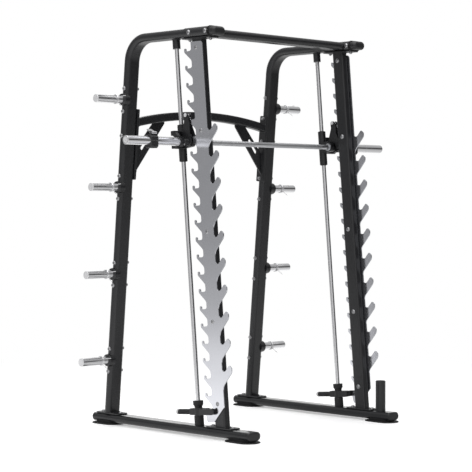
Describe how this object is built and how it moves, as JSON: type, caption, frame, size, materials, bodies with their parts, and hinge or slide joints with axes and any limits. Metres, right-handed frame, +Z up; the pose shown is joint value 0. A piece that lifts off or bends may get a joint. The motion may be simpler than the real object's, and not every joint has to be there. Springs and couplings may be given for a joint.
{
  "type": "smith machine",
  "caption": "Smith machine: guided barbell on leaning rods between two bent-tube side frames, with latch and bar-hook plates and plate storage horns.",
  "frame": {"origin": "floor level, at the centre of the machine's overall box", "axes": "+X to the right along the bar, -Y towards the user and the bar-hook side, +Z up"},
  "size_m": [2.18, 1.345, 2.3105],
  "materials": {
    "frame_black": "satin black powder coat, fine texture",
    "rack_steel": "satin brushed plate",
    "chrome": "polished hard chrome",
    "bar_steel": "satin chrome with knurled grip zones",
    "bolt_zinc": "bright zinc",
    "bearing_steel": "ground bearing steel",
    "rubber_black": "matt moulded rubber",
    "plastic_black": "moulded, fine grain"
  },
  "bodies": {
    "frame": {"left_base_tube": "frame_black", "left_foot_pads": "rubber_black", "left_rear_upright": "frame_black", "left_front_post": "frame_black", "left_rack_plate": "rack_steel", "left_top_cap": "plastic_black", "left_guide_rod": "chrome", "left_rod_top_socket": "frame_black", "left_rod_bottom_socket": "rubber_black", "left_storage_horns": "chrome", "left_horn_bosses": "frame_black", "right_base_tube": "frame_black", "right_foot_pads": "rubber_black", "right_rear_upright": "frame_black", "right_front_post": "frame_black", "right_rack_plate": "rack_steel", "right_top_cap": "plastic_black", "right_guide_rod": "chrome", "right_rod_top_socket": "frame_black", "right_rod_bottom_socket": "rubber_black", "right_storage_horns": "chrome", "right_horn_bosses": "frame_black", "base_caps": "plastic_black", "top_crossbar": "frame_black", "rear_brace": "frame_black", "horn_caps": "chrome", "frame_bolts": "bolt_zinc", "bar_holder": "frame_black"},
    "carriages": {"left_carriage": "frame_black", "left_linear_bearings": "bearing_steel", "left_bar_bearings": "bearing_steel", "right_carriage": "frame_black", "right_linear_bearings": "bearing_steel", "right_bar_bearings": "bearing_steel"},
    "bar": {"bar_shaft": "bar_steel", "left_bar_sleeve": "chrome", "left_latch_lever": "frame_black", "left_latch_pin": "chrome", "right_bar_sleeve": "chrome", "right_latch_lever": "frame_black", "right_latch_pin": "chrome"},
    "left_stop_slider": {"left_stop_bumper": "rubber_black"},
    "left_stop": {"left_stop_body": "frame_black", "left_stop_grip": "rubber_black"},
    "left_collar": {"left_clamp_collar": "plastic_black"},
    "left_collar_lever": {"left_clamp_lever": "bolt_zinc"},
    "left_clip_1": {"left_spring_clip_1": "chrome"},
    "left_clip_2": {"left_spring_clip_2": "chrome"},
    "left_clip_3": {"left_spring_clip_3": "chrome"},
    "left_clip_4": {"left_spring_clip_4": "chrome"},
    "right_stop_slider": {"right_stop_bumper": "rubber_black"},
    "right_stop": {"right_stop_body": "frame_black", "right_stop_grip": "rubber_black"},
    "right_collar": {"right_clamp_collar": "plastic_black"},
    "right_collar_lever": {"right_clamp_lever": "bolt_zinc"},
    "right_clip_1": {"right_spring_clip_1": "chrome"},
    "right_clip_2": {"right_spring_clip_2": "chrome"},
    "right_clip_3": {"right_spring_clip_3": "chrome"},
    "right_clip_4": {"right_spring_clip_4": "chrome"}
  },
  "joints": [
    {"name": "bar_lift", "type": "slide", "parent": "frame", "child": "carriages", "axis": [0, 0.0863, 0.9963], "range_m": [-1.2662, 0.3896]},
    {"name": "bar_rotate", "type": "hinge", "parent": "carriages", "child": "bar", "pos_m": [0, -0.14147, 1.66659], "axis": [1, 0, 0], "range_deg": [-6, 12.5]},
    {"name": "left_stop_slide", "type": "slide", "parent": "frame", "child": "left_stop_slider", "axis": [0, 0.0863, 0.9963], "range_m": [0, 0.974]},
    {"name": "left_stop_swing", "type": "hinge", "parent": "left_stop_slider", "child": "left_stop", "pos_m": [-0.604, -0.21571, 0.13729], "axis": [0, 0.0863, 0.9963], "range_deg": [-35, 4]},
    {"name": "left_collar_slide", "type": "slide", "parent": "bar", "child": "left_collar", "axis": [-1, 0, 0], "range_m": [-0.16, 0.16]},
    {"name": "left_collar_cam", "type": "hinge", "parent": "left_collar", "child": "left_collar_lever", "pos_m": [-0.895, -0.15548, 1.71159], "axis": [1, 0, 0], "range_deg": [0, 100]},
    {"name": "left_clip_1_slide", "type": "slide", "parent": "frame", "child": "left_clip_1", "axis": [-1, 0, 0], "range_m": [-0.036, 0.13]},
    {"name": "left_clip_2_slide", "type": "slide", "parent": "frame", "child": "left_clip_2", "axis": [-1, 0, 0], "range_m": [-0.036, 0.13]},
    {"name": "left_clip_3_slide", "type": "slide", "parent": "frame", "child": "left_clip_3", "axis": [-1, 0, 0], "range_m": [-0.036, 0.13]},
    {"name": "left_clip_4_slide", "type": "slide", "parent": "frame", "child": "left_clip_4", "axis": [-1, 0, 0], "range_m": [-0.036, 0.13]},
    {"name": "right_stop_slide", "type": "slide", "parent": "frame", "child": "right_stop_slider", "axis": [0, 0.0863, 0.9963], "range_m": [0, 0.974]},
    {"name": "right_stop_swing", "type": "hinge", "parent": "right_stop_slider", "child": "right_stop", "pos_m": [0.604, -0.21571, 0.13729], "axis": [0, 0.0863, 0.9963], "range_deg": [-4, 35]},
    {"name": "right_collar_slide", "type": "slide", "parent": "bar", "child": "right_collar", "axis": [1, 0, 0], "range_m": [-0.08, 0.24]},
    {"name": "right_collar_cam", "type": "hinge", "parent": "right_collar", "child": "right_collar_lever", "pos_m": [0.815, -0.15548, 1.71159], "axis": [1, 0, 0], "range_deg": [0, 100]},
    {"name": "right_clip_1_slide", "type": "slide", "parent": "frame", "child": "right_clip_1", "axis": [1, 0, 0], "range_m": [-0.065, 0.1]},
    {"name": "right_clip_2_slide", "type": "slide", "parent": "frame", "child": "right_clip_2", "axis": [1, 0, 0], "range_m": [-0.065, 0.1]},
    {"name": "right_clip_3_slide", "type": "slide", "parent": "frame", "child": "right_clip_3", "axis": [1, 0, 0], "range_m": [-0.065, 0.1]},
    {"name": "right_clip_4_slide", "type": "slide", "parent": "frame", "child": "right_clip_4", "axis": [1, 0, 0], "range_m": [-0.065, 0.1]}
  ]
}
